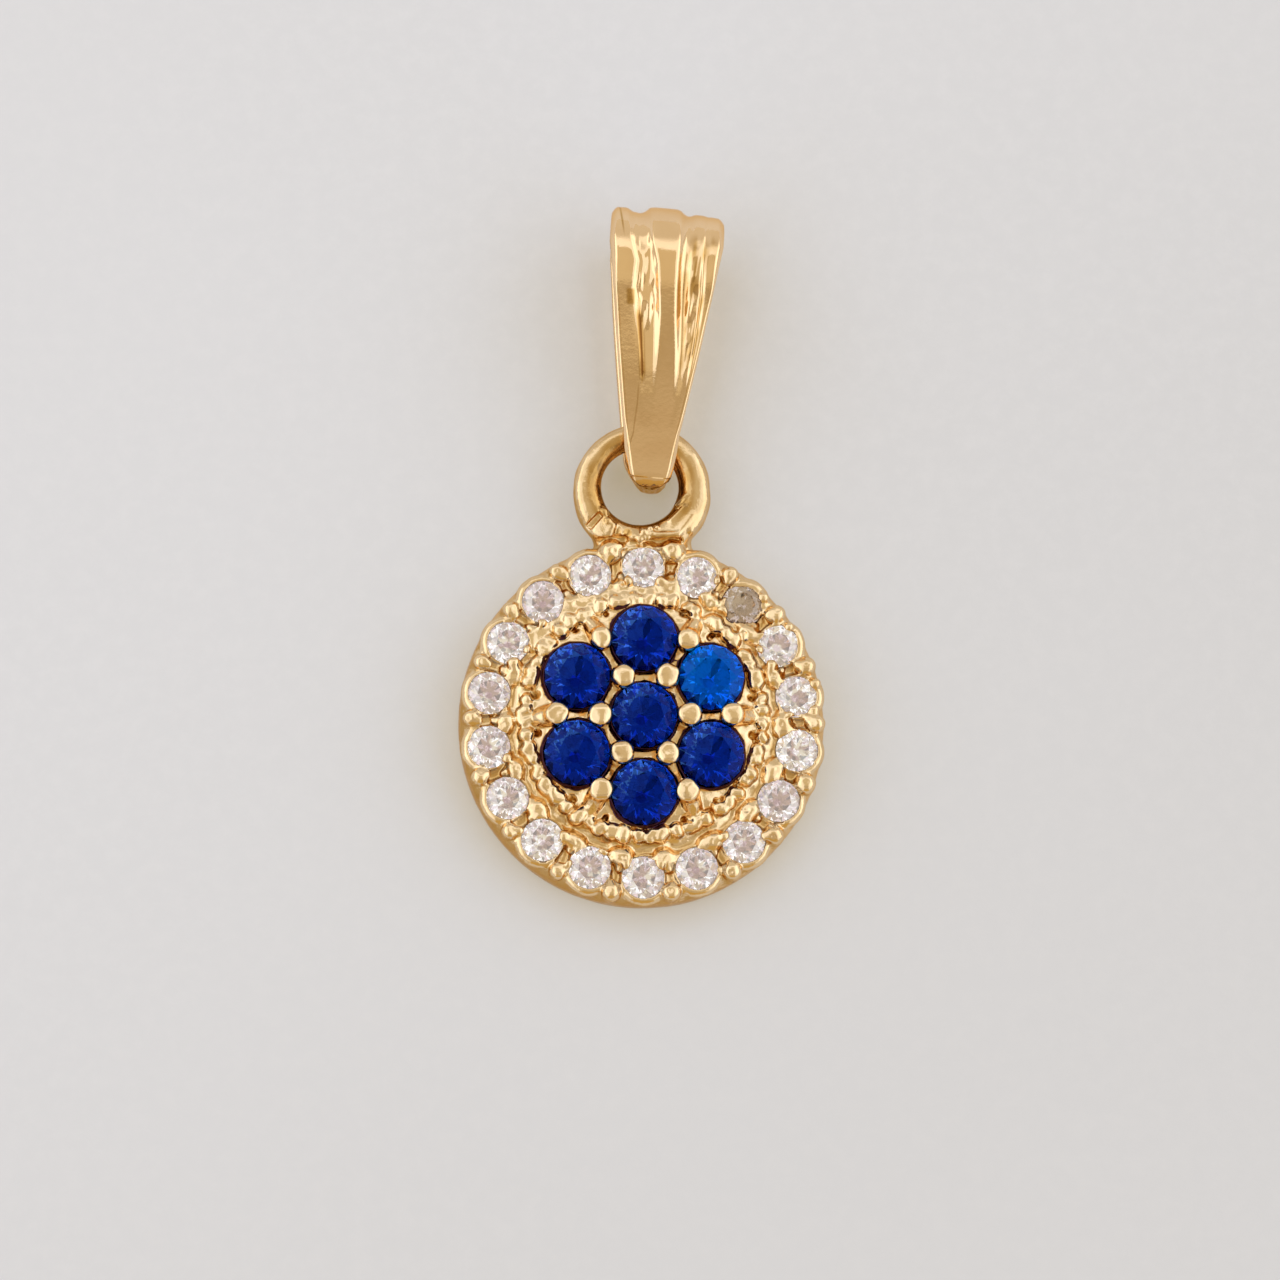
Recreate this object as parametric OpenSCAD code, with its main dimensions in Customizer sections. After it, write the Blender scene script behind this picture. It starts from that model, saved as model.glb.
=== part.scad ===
// Circle pendant: a round cast setting with a ring of clear stones round a raised
// cluster of blue ones, a loop on its rim, and a fluted tapered bail through the loop.
// It lies on its back. +Z is up out of its face and +Y points from the disc to the bail.

/* [Disc] */
// Diameter of the disc at its back
disc_d = 11.2; // [11:0.1:11.6]
// Height of the face that the clear stones stand on
face_z = 1.2; // [1.1:0.05:1.4]
// Depth of the recess in the back, behind the cluster
recess_depth = 0.6; // [0.4:0.05:0.65]

/* [Halo] */
// Diameter of a clear stone
clear_d = 1.3; // [1.2:0.05:1.35]
// Radius of the circle of clear stones
halo_r = 4.77; // [4.7:0.01:4.85]
// Radius of a bead on the rim
rim_bead_r = 0.34; // [0.3:0.01:0.36]
// Radius of a bead on the inner side of the clear stones
inner_bead_r = 0.32; // [0.28:0.01:0.34]

/* [Cluster] */
// Diameter of a blue stone
blue_d = 2.0; // [1.9:0.05:2]
// Distance between the centres of neighbouring blue stones
blue_pitch = 2.366; // [2.3:0.01:2.4]
// Height of the metal that the blue stones stand on
cluster_z = 1.62; // [1.5:0.02:1.8]
// Radius of a bead round the middle stone
cluster_bead_r = 0.4; // [0.34:0.01:0.42]
// Radius of the ring of fine grains round the cluster
grain_ring_r = 3.64; // [3.62:0.01:3.66]
// Number of fine grains
grain_count = 60; // [48:1:60]

/* [Loop] */
// Radius of the loop, to the middle of its wire
loop_r = 1.65; // [1.55:0.05:1.75]
// Radius of the loop's wire
wire_r = 0.45; // [0.4:0.01:0.47]

/* [Bail] */
// Length of the bail from its tip to its top
bail_l = 8.7; // [8.2:0.1:9.4]
// Width of the bail at its top
bail_w = 3.5; // [3:0.1:3.8]
// Thickness of the bail from back to front at its top
bail_depth = 3.8; // [3.4:0.1:4.2]
// Thickness of the bail's wall
bail_wall = 0.5; // [0.45:0.01:0.52]
// Turn of the bail to the right, in degrees
bail_turn = 4.2; // [0:0.2:5]

/* [Hidden] */
clear_count = 18;
blue_count = 7;
gold = "goldenrod";

// The stones in the photo that differ from the rest, by number
azure_stone = 3;
smoky_stone = 17;

// Gap between a stone and its seat, and how far its girdle stands above the metal
seat_gap = 0.04;
girdle_lift = 0.04;
// The smoky stone is set deeper than the rest
smoky_drop = 0.12;
stone_tilt = 1.2;

// Proportions of a cut stone, as shares of its diameter
table_share = 0.57;
star_share = 0.78;
crown_share = 0.16;
girdle_share = 0.026;
pavilion_share = 0.43;
pavilion_star_share = 0.3;

// Places in the plan: the origin is under the middle of the whole pendant
loop_y = disc_d / 2 + loop_r;
tip_y = loop_y - 0.1;
reach = tip_y + bail_l;
disc_y = (disc_d / 2 - reach) / 2;
bail_x = 0.14;
cluster_shift = 0.15;

// Heights and radii of the setting's bands
back_wall_r = 3.9;
trough_r = 4.05;
trough_z = face_z - 0.08;
shoulder = 0.25;
ridge_z = 1.4;
ridge_half = 0.22;
lobe_r = blue_d / 2 + 0.08;
bridge_z = cluster_z - 0.1;
bridge_r = 2.2;
outer_bead_r = cluster_bead_r - 0.025;
outer_bead_ring = 2.65;
loop_z = 1.1;

// Turns and leans of the stones differ a little, as set by hand
function stone_yaw(i) = (i * 37) % 45;
function stone_lean(i, d) = stone_tilt * clear_d / d * [sin(i * 131), cos(i * 77), 0];

// Outline of a stone's seat, from the hole in the back to above the stone
function seat_outline(d, hole_r, depth) =
    let (
        r = d / 2 + seat_gap,
        pavilion = d * pavilion_share,
        cone_z = (hole_r - seat_gap) / (d / 2) * pavilion - pavilion,
        girdle = d * girdle_share,
        table_r = d / 2 * table_share + seat_gap
    )
    [
        [0, -depth],
        [hole_r, -depth],
        [hole_r, cone_z],
        [r, 0],
        [r, girdle + seat_gap],
        [table_r, girdle + d * crown_share + seat_gap],
        [table_r, depth],
        [0, depth]
    ];

module seat(d, hole_r) {
    rotate_extrude($fn = 48) polygon(seat_outline(d, hole_r, 3));
}

// Points of a ring of a cut stone: count points at radius r and height z, from angle start
function stone_ring(count, r, z, start) =
    [for (k = [0:count - 1]) [r * cos(start + k * 360 / count), r * sin(start + k * 360 / count), z]];

// A round brilliant with its girdle's lower edge at height 0
module brilliant(d) {
    r = d / 2;
    girdle_z = d * girdle_share;
    table_z = girdle_z + d * crown_share;
    table_r = r * table_share;
    star_r = r * star_share;
    star_z = table_z - (star_r * cos(22.5) - table_r) * (table_z - girdle_z) / (r - table_r);
    culet_z = -d * pavilion_share;
    lower_r = r * pavilion_star_share;
    lower_z = culet_z * (1 - lower_r * cos(22.5) / r);
    // Numbers of the first point of each ring
    star = 8;
    top = 16;
    bottom = 32;
    lower = 48;
    culet = 56;
    points = concat(
        stone_ring(8, table_r, table_z, 0),
        stone_ring(8, star_r, star_z, 22.5),
        stone_ring(16, r, girdle_z, 0),
        stone_ring(16, r, 0, 0),
        stone_ring(8, lower_r, lower_z, 22.5),
        [[0, 0, culet_z]]
    );
    table_face = [[for (k = [7:-1:0]) k]];
    facets = [
        for (k = [0:7])
            let (next = (k + 1) % 8, last = (k + 7) % 8, a = 2 * k, b = 2 * k + 1, c = (2 * k + 2) % 16)
            for (face = [
                [k, next, star + k],
                [k, star + k, top + a],
                [k, top + a, star + last],
                [star + k, top + b, top + a],
                [star + k, top + c, top + b],
                [top + a, top + b, bottom + b],
                [top + a, bottom + b, bottom + a],
                [top + b, top + c, bottom + c],
                [top + b, bottom + c, bottom + b],
                [lower + k, bottom + a, bottom + b],
                [lower + k, bottom + b, bottom + c],
                [culet, bottom + a, lower + k],
                [culet, lower + last, bottom + a]
            ]) face
    ];
    polyhedron(points, concat(table_face, facets));
}

// Places of the stones, as [x, y, z of the girdle's lower edge]
function clear_angle(i) = 90 + (i - 1) * 360 / clear_count;
function clear_place(i) = [
    halo_r * cos(clear_angle(i)),
    disc_y + halo_r * sin(clear_angle(i)),
    face_z + girdle_lift - (i == smoky_stone ? smoky_drop : 0)
];
function blue_angle(i) = 90 - (i - 2) * 60;
function blue_place(i) =
    let (r = i == 1 ? 0 : blue_pitch)
    [
        r * cos(blue_angle(i)),
        disc_y + cluster_shift + r * sin(blue_angle(i)),
        cluster_z + girdle_lift
    ];

// Copies of what follows on a circle of radius r
module ring_of(count, r, start) {
    for (k = [0:count - 1])
        rotate(start + k * 360 / count) translate([r, 0, 0]) children();
}

// The disc with its rim, its shoulder and the trough inside the clear stones
module disc() {
    rim = disc_d / 2;
    rotate_extrude($fn = 128) polygon([
        [0, recess_depth],
        [back_wall_r, recess_depth],
        [back_wall_r, 0],
        [rim - 0.08, 0],
        [rim, 0.08],
        [rim - 0.02, face_z / 2],
        [rim - 0.09, face_z - 0.25],
        [rim - shoulder, face_z],
        [trough_r + 0.1, face_z],
        [trough_r, trough_z],
        [0, trough_z]
    ]);
}

// The ridge with its fine grains round the cluster
module grain_ring() {
    rotate_extrude($fn = 128) translate([grain_ring_r - ridge_half, recess_depth + 0.2])
        square([2 * ridge_half, ridge_z - recess_depth - 0.2]);
    ring_of(grain_count, grain_ring_r, 180 / grain_count)
        translate([0, 0, ridge_z + 0.02]) sphere(r = 0.175, $fn = 24);
}

// The raised metal under the blue stones, with the beads that hold them
module cluster_base() {
    base_z = recess_depth + 0.2;
    lobe_h = cluster_z - base_z;
    translate([0, 0, base_z]) {
        cylinder(r = bridge_r, h = bridge_z - base_z, $fn = 72);
        cylinder(r = lobe_r, h = lobe_h, $fn = 48);
        ring_of(6, blue_pitch, 30) cylinder(r = lobe_r, h = lobe_h, $fn = 48);
    }
    ring_of(6, blue_pitch / sqrt(3), 0)
        translate([0, 0, cluster_z + 0.18]) sphere(r = cluster_bead_r, $fn = 32);
    ring_of(6, outer_bead_ring, 0) {
        translate([0, 0, cluster_z + 0.13]) sphere(r = outer_bead_r, $fn = 32);
        translate([0.1, 0, cluster_z - 0.16]) rotate([0, 90, 0]) cylinder(r = 0.24, h = 0.8, $fn = 32);
    }
}

// The beads on both sides of the clear stones
module halo_beads() {
    ring_of(clear_count, halo_r + 0.52, 0)
        translate([0, 0, face_z + 0.05]) sphere(r = rim_bead_r, $fn = 32);
    ring_of(clear_count, halo_r - 0.5, 0)
        translate([0, 0, face_z + 0.02]) sphere(r = inner_bead_r, $fn = 32);
}

module loop() {
    translate([0, loop_y, loop_z]) rotate_extrude($fn = 72) translate([loop_r, 0]) circle(r = wire_r, $fn = 32);
}

module setting() {
    color(gold) difference() {
        translate([0, disc_y, 0]) {
            disc();
            halo_beads();
            loop();
            translate([0, cluster_shift, 0]) {
                grain_ring();
                cluster_base();
            }
        }
        for (i = [1:clear_count]) translate(clear_place(i)) seat(clear_d, 0.35);
        for (i = [1:blue_count]) translate(blue_place(i)) seat(blue_d, 0.5);
    }
}

// The bail's outline and flutes, by the distance from its top.
// The flutes lie at these shares of the half width, and fade out where their strength is 0.
// from the top, half width, left flute, right flute, half width of a flute, strength
bail_table = [
    [0.0, 1.00, -0.46, 0.36, 0.18, 1.0],
    [1.3, 0.98, -0.42, 0.37, 0.18, 1.0],
    [2.8, 0.86, -0.33, 0.42, 0.20, 0.9],
    [4.4, 0.73, -0.17, 0.51, 0.20, 0.5],
    [5.9, 0.59, -0.05, 0.62, 0.20, 0.0],
    [7.1, 0.47, -0.05, 0.62, 0.20, 0.0],
    [8.1, 0.32, -0.05, 0.62, 0.20, 0.0],
    [8.4, 0.25, -0.05, 0.62, 0.20, 0.0],
    [8.7, 0.13, -0.05, 0.62, 0.20, 0.0]
];
function bail_value(column, from_top) =
    lookup(from_top * 8.7 / bail_l, [for (row = bail_table) [row[0], row[column]]]);

flute_depth = 0.25;
side_ridge_drop = 0.1;
bevel = 0.1;
tip_r = 1.0;
top_r = bail_depth / 2;
top_t = bail_l - top_r;
front_angle = 90 + 2 * atan((top_r - tip_r) / (top_t - tip_r));
back_steps = 6;
top_steps = 16;
front_steps = 12;
tip_steps = 10;
back_fade = 1.6;

// Stations round the bail's side view, as [t, z, outward angle, strength of the flutes]
function bend(t, z, r, from, to, steps, strength) = [
    for (k = [0:steps - 1])
        let (a = from + (to - from) * k / steps)
        [t + r * cos(a), z + r * sin(a), a, strength]
];
function on_bend(t, r, a) = [t + r * cos(a), r + r * sin(a)];
front_top = on_bend(top_t, top_r, front_angle);
front_tip = on_bend(tip_r, tip_r, front_angle);
bail_stations = concat(
    [
        for (k = [0:back_steps - 1])
            let (t = tip_r + (top_t - tip_r) * k / back_steps)
            [t, 0, -90, max(0, 1 - (top_t - t) / back_fade)]
    ],
    bend(top_t, top_r, top_r, -90, front_angle, top_steps, 1),
    [
        for (k = [0:front_steps - 1])
            let (p = front_top + (front_tip - front_top) * k / front_steps)
            [p[0], p[1], front_angle, 1]
    ],
    bend(tip_r, tip_r, tip_r, front_angle, 270, tip_steps, 1)
);

// One cross section of the bail's wall, as [share of the half width, depth under the outline]
function bail_section(from_top, strength) =
    let (
        left = bail_value(2, from_top),
        right = bail_value(3, from_top),
        half = bail_value(4, from_top),
        fade = strength * bail_value(5, from_top),
        low = fade * flute_depth,
        side = fade * side_ridge_drop
    )
    [
        [-1, side + bevel],
        [-0.93, side],
        [left - half, side],
        [left - half / 2, (low + side) / 2],
        [left, low],
        [left + half / 2, low / 2],
        [left + half, 0],
        [(left + right) / 2, 0],
        [right - half, 0],
        [right - half / 2, low / 2],
        [right, low],
        [right + half / 2, (low + side) / 2],
        [right + half, side],
        [0.93, side],
        [1, side + bevel],
        [1, bail_wall],
        [-1, bail_wall]
    ];

module bail() {
    sections = [
        for (s = bail_stations)
            let (from_top = bail_l - s[0], half_w = bail_w / 2 * bail_value(1, from_top))
            [
                for (p = bail_section(from_top, s[3]))
                    [p[0] * half_w, s[0] - p[1] * cos(s[2]), s[1] - p[1] * sin(s[2])]
            ]
    ];
    count = len(sections);
    size = len(sections[0]);
    faces = [
        for (i = [0:count - 1])
            for (j = [0:size - 1])
                let (
                    here = i * size,
                    next = (i + 1) % count * size,
                    a = j,
                    b = (j + 1) % size
                )
                for (face = [[here + a, here + b, next + b], [here + a, next + b, next + a]]) face
    ];
    color(gold)
        translate([bail_x, disc_y + tip_y, 0]) rotate(-bail_turn)
            polyhedron([for (section = sections) for (p = section) p], faces);
}

module blue_stone(i) {
    color(i == azure_stone ? "dodgerblue" : "midnightblue")
        translate(blue_place(i)) rotate(stone_lean(i, blue_d)) rotate(stone_yaw(i)) brilliant(blue_d);
}

module clear_stone(i) {
    color(i == smoky_stone ? "gray" : "whitesmoke")
        translate(clear_place(i)) rotate(stone_lean(i, clear_d)) rotate(stone_yaw(i)) brilliant(clear_d);
}

setting();
bail();
for (i = [1:blue_count]) blue_stone(i);
for (i = [1:clear_count]) clear_stone(i);
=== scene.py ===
"""Looks of the circle pendant: its cast gold setting, its fluted bail and its cut stones,
lying on a pale surface under soft room light. Lengths are in mm until a mesh is made."""

import math

import bpy
import numpy as np
import openvdb
from mathutils import Matrix, Vector


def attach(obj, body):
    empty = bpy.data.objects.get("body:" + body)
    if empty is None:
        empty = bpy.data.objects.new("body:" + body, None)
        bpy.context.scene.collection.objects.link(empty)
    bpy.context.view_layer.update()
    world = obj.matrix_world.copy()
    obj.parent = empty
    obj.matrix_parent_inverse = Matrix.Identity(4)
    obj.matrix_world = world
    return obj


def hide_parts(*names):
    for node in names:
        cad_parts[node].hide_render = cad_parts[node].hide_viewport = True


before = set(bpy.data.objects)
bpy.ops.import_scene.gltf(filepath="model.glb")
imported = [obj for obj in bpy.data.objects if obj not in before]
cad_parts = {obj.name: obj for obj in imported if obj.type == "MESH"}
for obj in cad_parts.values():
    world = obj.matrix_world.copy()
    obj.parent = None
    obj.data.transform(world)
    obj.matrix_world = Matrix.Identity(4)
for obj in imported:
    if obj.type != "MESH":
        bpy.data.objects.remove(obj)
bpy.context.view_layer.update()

MM = 0.001
rng = np.random.default_rng(41)

# The middle of the disc is at (0, DISC_Y) in the row frame. Places of the setting count from it.
DISC_Y = -5.125
FACE_Z = 1.2

# The clear stones, anticlockwise from the top, with angles in degrees
CLEAR_STONES = 18
CLEAR_STEP = 20
CLEAR_D = 1.3
HALO_R = 4.77
SMOKY_STONE = 17
SMOKY_DROP = 0.12

# The blue stones: one in the middle, the others clockwise from the top
BLUE_STONES = 7
OUTER_STONES = 6
OUTER_STEP = 60
BLUE_D = 2.0
BLUE_PITCH = 2.366
AZURE_STONE = 3
CLUSTER_SHIFT = 0.15
CLUSTER_Z = 1.62

# How far a stone's girdle lies over the metal
GIRDLE_LIFT = 0.04

# The ring of grains round the cluster
GRAINS = 60
GRAIN_R = 3.64
GRAIN_Z = 1.33


def polar(radius, degrees, z=0.0, shift=0.0):
    """A point of the setting, from its radius and angle round the disc."""
    a = math.radians(degrees)
    return np.array([radius * math.cos(a), shift + radius * math.sin(a), z])


def jitter(size):
    return float(rng.uniform(-size, size))


# ---------- fields of distance

VOXEL = 0.042
FIELD_LOW = (-5.95, -5.95, -0.14)
FIELD_HIGH = (5.95, 9.5, 2.45)
# Room round a shape in which its distances are worked out
MARGIN = 0.2
# How softly the flat top of a bead runs into its side
FLAT_BLEND = 0.14
SLOT_ROUNDING = 0.02
# Step of radius in the table that a revolved shape is read from
RADIUS_STEP = 0.01


def smooth_min(a, b, blend):
    h = np.maximum(blend - np.abs(a - b), 0) / blend
    return np.minimum(a, b) - h * h * blend / 4


class Field:
    """Distances to a surface on a grid, negative in the metal."""

    def __init__(self):
        self.axes = [
            np.arange(low, high + VOXEL, VOXEL, dtype=np.float32)
            for low, high in zip(FIELD_LOW, FIELD_HIGH)
        ]
        self.values = np.ones([len(a) for a in self.axes], np.float32)

    def add(self, shape, blend, sign=1):
        distance, low, high = shape
        cuts = tuple(
            slice(*np.searchsorted(axis, (low[i], high[i])))
            for i, axis in enumerate(self.axes)
        )
        x, y, z = np.ix_(*(axis[cut] for axis, cut in zip(self.axes, cuts)))
        self.values[cuts] = sign * smooth_min(sign * self.values[cuts], distance(x, y, z), blend)

    def cut(self, shape, blend):
        self.add(shape, blend, -1)


def capsule(p, q, r, s, flat_z=None):
    """A rod from p to q with radius r at p and s at q. Its top is cut flat at height flat_z."""
    p, q = np.array(p, float), np.array(q, float)
    d = q - p
    length2 = max(float(d @ d), 1e-9)

    def distance(x, y, z):
        u, v, w = x - p[0], y - p[1], z - p[2]
        t = np.clip((u * d[0] + v * d[1] + w * d[2]) / length2, 0, 1)
        away = np.sqrt((u - t * d[0]) ** 2 + (v - t * d[1]) ** 2 + (w - t * d[2]) ** 2)
        found = away - (r + (s - r) * t)
        if flat_z is not None:
            found = -smooth_min(-found, flat_z - z, FLAT_BLEND)
        return found

    reach = max(r, s) + MARGIN
    return distance, np.minimum(p, q) - reach, np.maximum(p, q) + reach


def ball(c, r):
    return capsule(c, c, r, r)


def slot_box(centre, size, degrees):
    """A box turned in the plan."""
    c, h = np.array(centre, float), np.array(size, float) / 2 - SLOT_ROUNDING
    co, si = math.cos(math.radians(degrees)), math.sin(math.radians(degrees))

    def distance(x, y, z):
        u = np.abs((x - c[0]) * co + (y - c[1]) * si) - h[0]
        v = np.abs((y - c[1]) * co - (x - c[0]) * si) - h[1]
        w = np.abs(z - c[2]) - h[2]
        outside = np.sqrt(np.maximum(u, 0) ** 2 + np.maximum(v, 0) ** 2 + np.maximum(w, 0) ** 2)
        inside = np.minimum(np.maximum(np.maximum(u, v), w), 0)
        return outside + inside - SLOT_ROUNDING

    reach = float(np.linalg.norm(h)) + MARGIN
    return distance, c - reach, c + reach


def outline_distance(px, py, points):
    """Distance to a closed outline in the plane, negative inside."""
    away = np.full(np.broadcast(px, py).shape, 1e9)
    inside = np.zeros(away.shape, bool)
    for i, (bx, by) in enumerate(points):
        ax, ay = points[i - 1]
        ex, ey = bx - ax, by - ay
        t = np.clip(((px - ax) * ex + (py - ay) * ey) / (ex * ex + ey * ey), 0, 1)
        away = np.minimum(away, np.hypot(px - ax - t * ex, py - ay - t * ey))
        inside ^= ((ay > py) != (by > py)) & (px < ex * (py - ay) / (ey or 1e-9) + ax)
    return np.where(inside, -away, away)


def revolved(points, centre=(0, 0), lift=0.0, rounding=0.0):
    """The outline, as (radius, height) pairs, turned about a vertical axis."""

    def distance(x, y, z):
        r = np.hypot(x - centre[0], y - centre[1])[:, :, 0] / RADIUS_STEP
        radii = np.arange(int(r.max()) + 3)[:, None] * RADIUS_STEP
        table = outline_distance(radii, z[0, 0][None, :] - lift, points) - rounding
        low = r.astype(int)
        share = (r - low)[:, :, None]
        return table[low] * (1 - share) + table[low + 1] * share

    reach = max(p[0] for p in points) + MARGIN
    low_z = min(p[1] for p in points) + lift - MARGIN
    high_z = max(p[1] for p in points) + lift + MARGIN
    low = (centre[0] - reach, centre[1] - reach, low_z)
    return distance, low, (centre[0] + reach, centre[1] + reach, high_z)


def lattice_noise(axes, wave, seed):
    """Smooth random values from -1 to 1 on a grid, with features of the given lengths."""
    source = np.random.default_rng(seed)
    waves = np.broadcast_to(wave, len(axes))
    counts = [int((a[-1] - a[0]) / w) + 3 for a, w in zip(axes, waves)]
    values = source.uniform(-1, 1, counts).astype(np.float32)
    for i, (a, w) in enumerate(zip(axes, waves)):
        place = (a - a[0]) / w
        low = place.astype(int)
        share = place - low
        share = share * share * (3 - 2 * share)
        shape = [1] * len(axes)
        shape[i] = -1
        share = share.reshape(shape).astype(np.float32)
        values = np.take(values, low, i) * (1 - share) + np.take(values, low + 1, i) * share
    return values


def ramp(value, low, high):
    """0 below low and 1 above high, with a smooth rise between them."""
    t = np.clip((value - low) / (high - low), 0, 1)
    return t * t * (3 - 2 * t)


# ---------- the cast setting

# Outlines as (radius, height) pairs. What reaches the axis starts past it.
DISC_OUTLINE = [(-1.0, 0.6), (3.9, 0.6), (3.9, 0.0), (5.5, 0.0), (5.59, 0.1), (5.6, 0.55)]
DISC_OUTLINE += [(5.56, 0.9), (5.46, 1.12), (5.36, FACE_Z), (3.5, FACE_Z), (3.4, 1.1), (-1.0, 1.1)]
RIDGE_OUTLINE = [(3.4, 0.8), (4.1, 0.8), (4.0, 1.18), (3.82, 1.3), (3.52, 1.32), (3.42, 1.22)]
LOBE_OUTLINE = [(-0.5, 0.8), (1.08, 0.8), (1.06, 1.56), (1.0, CLUSTER_Z), (-0.5, CLUSTER_Z)]
BRIDGE_OUTLINE = [(-0.5, 0.8), (3.5, 0.8), (3.45, 1.34), (3.2, 1.42), (2.4, 1.5), (1.9, 1.36)]
BRIDGE_OUTLINE += [(-0.5, 1.36)]
# What is cleared of solder where the stones nearest the loop sit
RIM_CLEARANCE = [(4.4, FACE_Z), (5.3, FACE_Z), (5.38, 1.7), (4.4, 1.7)]

# Height of a stone's pavilion, girdle and crown and width of its table, as shares of its diameter
PAVILION, GIRDLE, CROWN, TABLE = 0.43, 0.026, 0.16, 0.57
# Room over the girdle and over the crown
GIRDLE_ROOM, CROWN_ROOM = 0.02, 0.03
SEAT_REACH = 3.0
# Radius of the drilled hole, and room round the stone
CLEAR_SEAT = (0.35, 0.035)
BLUE_SEAT = (0.5, 0.085)


def seat_outline(d, hole_r, gap):
    """The hollow for a stone: its drilled hole, its cone and the room over its crown."""
    pavilion = d * PAVILION
    cone_z = (hole_r - gap) / (d / 2) * pavilion - pavilion
    girdle = d * GIRDLE
    table_r = d / 2 * TABLE + gap
    return [
        (-0.5, -SEAT_REACH),
        (hole_r, -SEAT_REACH),
        (hole_r, cone_z),
        (d / 2 + gap, 0),
        (d / 2 + gap, girdle + GIRDLE_ROOM),
        (table_r, girdle + d * CROWN + CROWN_ROOM),
        (table_r, SEAT_REACH),
        (-0.5, SEAT_REACH),
    ]


def clear_place(i):
    drop = SMOKY_DROP if i == SMOKY_STONE else 0
    return polar(HALO_R, 90 + (i - 1) * CLEAR_STEP, FACE_Z + GIRDLE_LIFT - drop)


def blue_place(i):
    r = 0 if i == 1 else BLUE_PITCH
    return polar(r, 90 - (i - 2) * OUTER_STEP, CLUSTER_Z + GIRDLE_LIFT, CLUSTER_SHIFT)


# How far from the middle of its stone a lip begins, and where it is wider
LIP_R = 0.615
COVER = {14: 0.6, 15: 0.57, 16: 0.56, 17: 0.55, 18: 0.59}
LIP_LIFT = 0.1
# Where metal runs in over the edge of a stone, in degrees round the stone
BITE_PLACE_R = 0.66
BITE_R = 0.19
BITES = {
    1: (222, 318),
    3: (265,),
    4: (285, 335),
    6: (325,),
    8: (10,),
    9: (50, 170),
    10: (142, 38),
    12: (15, 165),
    15: (250, 320, 35),
    16: (195, 250, 60),
    17: (20, 200),
    18: (290, 350),
}


def add_bezels(field):
    """The low lip round each clear stone."""
    for i in range(1, CLEAR_STONES + 1):
        x, y, z = clear_place(i)
        inner = COVER.get(i, LIP_R)
        top = z + LIP_LIFT + 0.76 * (LIP_R - inner) + jitter(0.015)
        lip = [
            (inner, 0.95),
            (0.86, 0.95),
            (0.84, top - 0.14),
            (0.76, top - 0.04),
            (0.68, top),
            (inner, top),
        ]
        field.add(revolved(lip, (x, y), 0.0, 0.01), 0.08)
        for a in BITES.get(i, ()):
            dx, dy, _ = polar(1, a)
            place = (x + BITE_PLACE_R * dx, y + BITE_PLACE_R * dy, z + LIP_LIFT)
            field.add(ball(place, BITE_R + jitter(0.02)), 0.06)


# Places between the clear stones, by their radius on the disc: the saddle's two ends, the hollow
# on the inner side, the post on the rim, and the inner bead with its point
SADDLE_R = (4.45, 5.12)
SADDLE_SIZE = 0.22
HOLLOW_R = 4.0
HOLLOW_SIZE = 0.17
POST_R = 5.27
INNER_BEAD_R = 4.2
BEAD_POINT_R = 4.55
# The two posts at the foot of the loop are larger
LOOP_POSTS = (4, 5)
LOOP_POST_R = 5.34
# How far the middle of a pit lies over its post or bead
PIT_LIFT = 0.03


def add_halo(field):
    """The saddles, hollows, posts and beads round the clear stones."""
    for k in range(CLEAR_STONES):
        # The saddle between two stones
        a = CLEAR_STEP * k
        z = 1.3 + jitter(0.02)
        inner, outer = polar(SADDLE_R[0], a, z), polar(SADDLE_R[1], a, z - 0.02)
        field.cut(capsule(inner, outer, SADDLE_SIZE, SADDLE_SIZE), 0.06)
        # The hollow on the inner side of a stone
        a = CLEAR_STEP * (k + 0.5)
        left, right = polar(HOLLOW_R, a - 4, 1.36), polar(HOLLOW_R, a + 4, 1.36)
        field.cut(capsule(left, right, HOLLOW_SIZE, HOLLOW_SIZE), 0.08)
    for k in range(CLEAR_STONES):
        # The round post on the rim, which leans in over its two stones
        a = CLEAR_STEP * k + jitter(1.0)
        top = 1.28 + jitter(0.04)
        r = POST_R + jitter(0.02)
        size = 0.29 + 0.03 * math.cos(math.radians(a + 30)) + jitter(0.02)
        if k in LOOP_POSTS:
            r, size, top = LOOP_POST_R, 0.37, 1.24
        field.add(capsule(polar(r, a, 0.75), polar(r, a, top), size, size), 0.08)
        lean = polar(r - 0.2, a + jitter(2.0), top + 0.05)
        field.add(capsule(polar(r - 0.05, a, top), lean, size - 0.07, 0.16), 0.06)
        pit = polar(r + jitter(0.1), a + jitter(1.2), top + size + PIT_LIFT)
        field.cut(ball(pit, 0.08 + jitter(0.02)), 0.06)
        # The larger bead on the inner side, drawn out to a point between the stones
        a = CLEAR_STEP * k + jitter(1.2)
        low_right = 0.5 + 0.5 * math.cos(math.radians(a + 45))
        r = INNER_BEAD_R + jitter(0.03)
        size = 0.3 + 0.02 * low_right + jitter(0.025)
        z = 1.14 + jitter(0.03) + 0.04 * low_right
        spread = 0.8 + jitter(0.5)
        left, right = polar(r, a - spread, z), polar(r, a + spread, z)
        field.add(capsule(left, right, size, size + jitter(0.02)), 0.12)
        point = polar(BEAD_POINT_R, a + jitter(0.8), 1.18)
        field.add(capsule(polar(r + 0.05, a, z), point, size - 0.07, 0.12), 0.08)
        pit = polar(r + jitter(0.12), a + jitter(2), z + size + PIT_LIFT)
        field.cut(ball(pit, 0.08 + jitter(0.03)), 0.06)


# The smooth band: where it starts and ends and its pieces' length, in degrees
BAND = (72, 144)
BAND_STEP = 5
BAND_R = 4.04
BAND_SIZE = 0.17


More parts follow.
